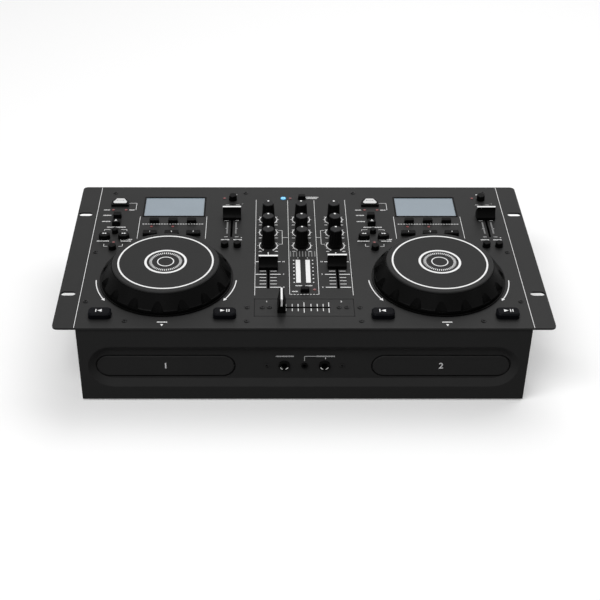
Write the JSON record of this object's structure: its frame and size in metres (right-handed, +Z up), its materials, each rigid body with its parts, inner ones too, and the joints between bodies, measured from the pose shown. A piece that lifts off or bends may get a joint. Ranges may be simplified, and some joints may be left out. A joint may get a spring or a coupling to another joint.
{
  "type": "dual disc player and mixer console",
  "caption": "Rack-mount console: disc players side by side with jog wheels, displays, keys and front-loading trays, and a mixer with knobs and faders between them.",
  "frame": {"origin": "on the floor under the middle of the top plate", "axes": "+Z up, +X to the user's right, -Y towards the user"},
  "size_m": [0.4826, 0.2658, 0.111],
  "materials": {
    "plate_steel": "satin charcoal paint",
    "case_steel": "satin black paint",
    "front_steel": "satin black paint",
    "foot_rubber": "matte",
    "screw_steel": "black oxide",
    "display_glass": "pale blue-grey display",
    "trim_plastic": "matte black",
    "lamp_plastic": "clear red and white lamps",
    "board": "fibreglass board",
    "loader_plastic": "black moulded plastic",
    "port_plastic": "black hood with a pale lid",
    "jack_metal": "plated",
    "connector_metal": "plated jacks on black plastic",
    "jog_rubber": "matte black rubber",
    "jog_plate": "satin charcoal with white rings",
    "door_plastic": "satin black",
    "tray_plastic": "satin black",
    "gear_plastic": "white acetal",
    "knob_rubber": "matte black with a grey cap",
    "fader_plastic": "black with a white crest",
    "pad_rubber": "matte bluish black",
    "key_plastic": "matte black",
    "rocker_plastic": "gloss black"
  },
  "bodies": {
    "console": {"top_plate": "plate_steel", "chassis_tub": "case_steel", "front_panel": "front_steel", "crossfader_plate": "plate_steel", "feet": "foot_rubber", "screws": "screw_steel", "display_bezels": "trim_plastic", "display_screens": "display_glass", "jog_bases": "trim_plastic", "usb_ports": "port_plastic", "indicator_lights": "lamp_plastic", "control_boards": "board", "disc_loaders": "loader_plastic", "front_jacks": "jack_metal", "rear_connectors": "connector_metal"},
    "left_jog": {"left_jog_skirt": "jog_rubber", "left_jog_plate": "jog_plate"},
    "left_tray": {"left_disc_tray": "tray_plastic", "left_tray_door": "door_plastic"},
    "left_gear": {"left_loader_gear": "gear_plastic"},
    "left_pitch_fader": {"left_pitch_cap": "fader_plastic"},
    "left_cue_key_body": {"left_cue_key": "pad_rubber"},
    "left_play_key_body": {"left_play_key": "pad_rubber"},
    "left_select_key_body": {"left_select_key": "key_plastic"},
    "left_eject_key_body": {"left_eject_key": "key_plastic"},
    "left_search_keys_body": {"left_search_keys": "key_plastic"},
    "left_jog_mode_key_body": {"left_jog_mode_key": "key_plastic"},
    "left_display_keys_body": {"left_display_keys": "pad_rubber"},
    "left_loop_keys_body": {"left_loop_keys": "key_plastic"},
    "left_pitch_keys_body": {"left_pitch_keys": "key_plastic"},
    "right_jog": {"right_jog_skirt": "jog_rubber", "right_jog_plate": "jog_plate"},
    "right_tray": {"right_disc_tray": "tray_plastic", "right_tray_door": "door_plastic"},
    "right_gear": {"right_loader_gear": "gear_plastic"},
    "right_pitch_fader": {"right_pitch_cap": "fader_plastic"},
    "right_cue_key_body": {"right_cue_key": "pad_rubber"},
    "right_play_key_body": {"right_play_key": "pad_rubber"},
    "right_select_key_body": {"right_select_key": "key_plastic"},
    "right_eject_key_body": {"right_eject_key": "key_plastic"},
    "right_search_keys_body": {"right_search_keys": "key_plastic"},
    "right_jog_mode_key_body": {"right_jog_mode_key": "key_plastic"},
    "right_display_keys_body": {"right_display_keys": "pad_rubber"},
    "right_loop_keys_body": {"right_loop_keys": "key_plastic"},
    "right_pitch_keys_body": {"right_pitch_keys": "key_plastic"},
    "left_high_knob_body": {"left_high_knob": "knob_rubber"},
    "left_mid_knob_body": {"left_mid_knob": "knob_rubber"},
    "left_low_knob_body": {"left_low_knob": "knob_rubber"},
    "middle_high_knob_body": {"middle_high_knob": "knob_rubber"},
    "middle_mid_knob_body": {"middle_mid_knob": "knob_rubber"},
    "middle_low_knob_body": {"middle_low_knob": "knob_rubber"},
    "right_high_knob_body": {"right_high_knob": "knob_rubber"},
    "right_mid_knob_body": {"right_mid_knob": "knob_rubber"},
    "right_low_knob_body": {"right_low_knob": "knob_rubber"},
    "left_channel_fader": {"left_channel_cap": "fader_plastic"},
    "right_channel_fader": {"right_channel_cap": "fader_plastic"},
    "crossfader": {"crossfader_cap": "fader_plastic"},
    "source_key_body": {"source_key": "key_plastic"},
    "cue_select_key_body": {"cue_select_key": "key_plastic"},
    "rocker": {"power_rocker": "rocker_plastic"}
  },
  "joints": [
    {"name": "left_jog_spin", "type": "hinge", "parent": "console", "child": "left_jog", "pos_m": [-0.137, -0.0477, 0.09], "axis": [0, 0, 1], "continuous": true},
    {"name": "left_tray_slide", "type": "slide", "parent": "console", "child": "left_tray", "axis": [0, -1, 0], "range_m": [0, 0.135]},
    {"name": "left_gear_turn", "type": "hinge", "parent": "console", "child": "left_gear", "pos_m": [-0.0871, -0.11325, 0.035], "axis": [0, 0, -1], "range_deg": [0, 970]},
    {"name": "left_pitch_slide", "type": "slide", "parent": "console", "child": "left_pitch_fader", "axis": [0, 1, 0], "range_m": [-0.0366, 0.0234]},
    {"name": "left_cue_key_press", "type": "slide", "parent": "console", "child": "left_cue_key_body", "axis": [0, 0, -1], "range_m": [0, 0.001], "stiffness_N_per_m": 400, "springref_m": -0.0005},
    {"name": "left_play_key_press", "type": "slide", "parent": "console", "child": "left_play_key_body", "axis": [0, 0, -1], "range_m": [0, 0.001], "stiffness_N_per_m": 400, "springref_m": -0.0005},
    {"name": "left_select_key_press", "type": "slide", "parent": "console", "child": "left_select_key_body", "axis": [0, 0, -1], "range_m": [0, 0.001], "stiffness_N_per_m": 400, "springref_m": -0.0005},
    {"name": "left_eject_key_press", "type": "slide", "parent": "console", "child": "left_eject_key_body", "axis": [0, 0, -1], "range_m": [0, 0.001], "stiffness_N_per_m": 400, "springref_m": -0.0005},
    {"name": "left_search_keys_press", "type": "slide", "parent": "console", "child": "left_search_keys_body", "axis": [0, 0, -1], "range_m": [0, 0.001], "stiffness_N_per_m": 400, "springref_m": -0.0005},
    {"name": "left_jog_mode_key_press", "type": "slide", "parent": "console", "child": "left_jog_mode_key_body", "axis": [0, 0, -1], "range_m": [0, 0.001], "stiffness_N_per_m": 400, "springref_m": -0.0005},
    {"name": "left_display_keys_press", "type": "slide", "parent": "console", "child": "left_display_keys_body", "axis": [0, 0, -1], "range_m": [0, 0.001], "stiffness_N_per_m": 400, "springref_m": -0.0005},
    {"name": "left_loop_keys_press", "type": "slide", "parent": "console", "child": "left_loop_keys_body", "axis": [0, 0, -1], "range_m": [0, 0.001], "stiffness_N_per_m": 400, "springref_m": -0.0005},
    {"name": "left_pitch_keys_press", "type": "slide", "parent": "console", "child": "left_pitch_keys_body", "axis": [0, 0, -1], "range_m": [0, 0.001], "stiffness_N_per_m": 400, "springref_m": -0.0005},
    {"name": "right_jog_spin", "type": "hinge", "parent": "console", "child": "right_jog", "pos_m": [0.137, -0.0477, 0.09], "axis": [0, 0, 1], "continuous": true},
    {"name": "right_tray_slide", "type": "slide", "parent": "console", "child": "right_tray", "axis": [0, -1, 0], "range_m": [0, 0.135]},
    {"name": "right_gear_turn", "type": "hinge", "parent": "console", "child": "right_gear", "pos_m": [0.1831, -0.11325, 0.035], "axis": [0, 0, -1], "range_deg": [0, 970]},
    {"name": "right_pitch_slide", "type": "slide", "parent": "console", "child": "right_pitch_fader", "axis": [0, 1, 0], "range_m": [-0.0366, 0.0234]},
    {"name": "right_cue_key_press", "type": "slide", "parent": "console", "child": "right_cue_key_body", "axis": [0, 0, -1], "range_m": [0, 0.001], "stiffness_N_per_m": 400, "springref_m": -0.0005},
    {"name": "right_play_key_press", "type": "slide", "parent": "console", "child": "right_play_key_body", "axis": [0, 0, -1], "range_m": [0, 0.001], "stiffness_N_per_m": 400, "springref_m": -0.0005},
    {"name": "right_select_key_press", "type": "slide", "parent": "console", "child": "right_select_key_body", "axis": [0, 0, -1], "range_m": [0, 0.001], "stiffness_N_per_m": 400, "springref_m": -0.0005},
    {"name": "right_eject_key_press", "type": "slide", "parent": "console", "child": "right_eject_key_body", "axis": [0, 0, -1], "range_m": [0, 0.001], "stiffness_N_per_m": 400, "springref_m": -0.0005},
    {"name": "right_search_keys_press", "type": "slide", "parent": "console", "child": "right_search_keys_body", "axis": [0, 0, -1], "range_m": [0, 0.001], "stiffness_N_per_m": 400, "springref_m": -0.0005},
    {"name": "right_jog_mode_key_press", "type": "slide", "parent": "console", "child": "right_jog_mode_key_body", "axis": [0, 0, -1], "range_m": [0, 0.001], "stiffness_N_per_m": 400, "springref_m": -0.0005},
    {"name": "right_display_keys_press", "type": "slide", "parent": "console", "child": "right_display_keys_body", "axis": [0, 0, -1], "range_m": [0, 0.001], "stiffness_N_per_m": 400, "springref_m": -0.0005},
    {"name": "right_loop_keys_press", "type": "slide", "parent": "console", "child": "right_loop_keys_body", "axis": [0, 0, -1], "range_m": [0, 0.001], "stiffness_N_per_m": 400, "springref_m": -0.0005},
    {"name": "right_pitch_keys_press", "type": "slide", "parent": "console", "child": "right_pitch_keys_body", "axis": [0, 0, -1], "range_m": [0, 0.001], "stiffness_N_per_m": 400, "springref_m": -0.0005},
    {"name": "left_high_knob_turn", "type": "hinge", "parent": "console", "child": "left_high_knob_body", "pos_m": [-0.0345, 0.064, 0.09], "axis": [0, 0, 1], "range_deg": [-150, 150]},
    {"name": "left_mid_knob_turn", "type": "hinge", "parent": "console", "child": "left_mid_knob_body", "pos_m": [-0.0345, 0.0381, 0.09], "axis": [0, 0, 1], "range_deg": [-150, 150]},
    {"name": "left_low_knob_turn", "type": "hinge", "parent": "console", "child": "left_low_knob_body", "pos_m": [-0.0345, 0.0122, 0.09], "axis": [0, 0, 1], "range_deg": [-150, 150]},
    {"name": "middle_high_knob_turn", "type": "hinge", "parent": "console", "child": "middle_high_knob_body", "pos_m": [0.0006, 0.064, 0.09], "axis": [0, 0, 1], "range_deg": [-150, 150]},
    {"name": "middle_mid_knob_turn", "type": "hinge", "parent": "console", "child": "middle_mid_knob_body", "pos_m": [0.0006, 0.0381, 0.09], "axis": [0, 0, 1], "range_deg": [-150, 150]},
    {"name": "middle_low_knob_turn", "type": "hinge", "parent": "console", "child": "middle_low_knob_body", "pos_m": [0.0006, 0.0122, 0.09], "axis": [0, 0, 1], "range_deg": [-150, 150]},
    {"name": "right_high_knob_turn", "type": "hinge", "parent": "console", "child": "right_high_knob_body", "pos_m": [0.0357, 0.064, 0.09], "axis": [0, 0, 1], "range_deg": [-150, 150]},
    {"name": "right_mid_knob_turn", "type": "hinge", "parent": "console", "child": "right_mid_knob_body", "pos_m": [0.0357, 0.0381, 0.09], "axis": [0, 0, 1], "range_deg": [-150, 150]},
    {"name": "right_low_knob_turn", "type": "hinge", "parent": "console", "child": "right_low_knob_body", "pos_m": [0.0357, 0.0122, 0.09], "axis": [0, 0, 1], "range_deg": [-150, 150]},
    {"name": "left_channel_slide", "type": "slide", "parent": "console", "child": "left_channel_fader", "axis": [0, 1, 0], "range_m": [-0.0363, 0.0087]},
    {"name": "right_channel_slide", "type": "slide", "parent": "console", "child": "right_channel_fader", "axis": [0, 1, 0], "range_m": [-0.0383, 0.0067]},
    {"name": "crossfader_slide", "type": "slide", "parent": "console", "child": "crossfader", "axis": [1, 0, 0], "range_m": [-0.0004, 0.0446]},
    {"name": "source_key_press", "type": "slide", "parent": "console", "child": "source_key_body", "axis": [0, 0, -1], "range_m": [0, 0.001], "stiffness_N_per_m": 400, "springref_m": -0.0005},
    {"name": "cue_select_key_press", "type": "slide", "parent": "console", "child": "cue_select_key_body", "axis": [0, 0, -1], "range_m": [0, 0.001], "stiffness_N_per_m": 400, "springref_m": -0.0005},
    {"name": "power_rock", "type": "hinge", "parent": "console", "child": "rocker", "pos_m": [0.115, 0.12445, 0.046], "axis": [-1, 0, 0], "range_deg": [0, 14]}
  ],
  "couplings": [
    {"joint": "left_gear_turn", "follows": "left_tray_slide", "rad_per_m": 125},
    {"joint": "right_gear_turn", "follows": "right_tray_slide", "rad_per_m": 125}
  ]
}
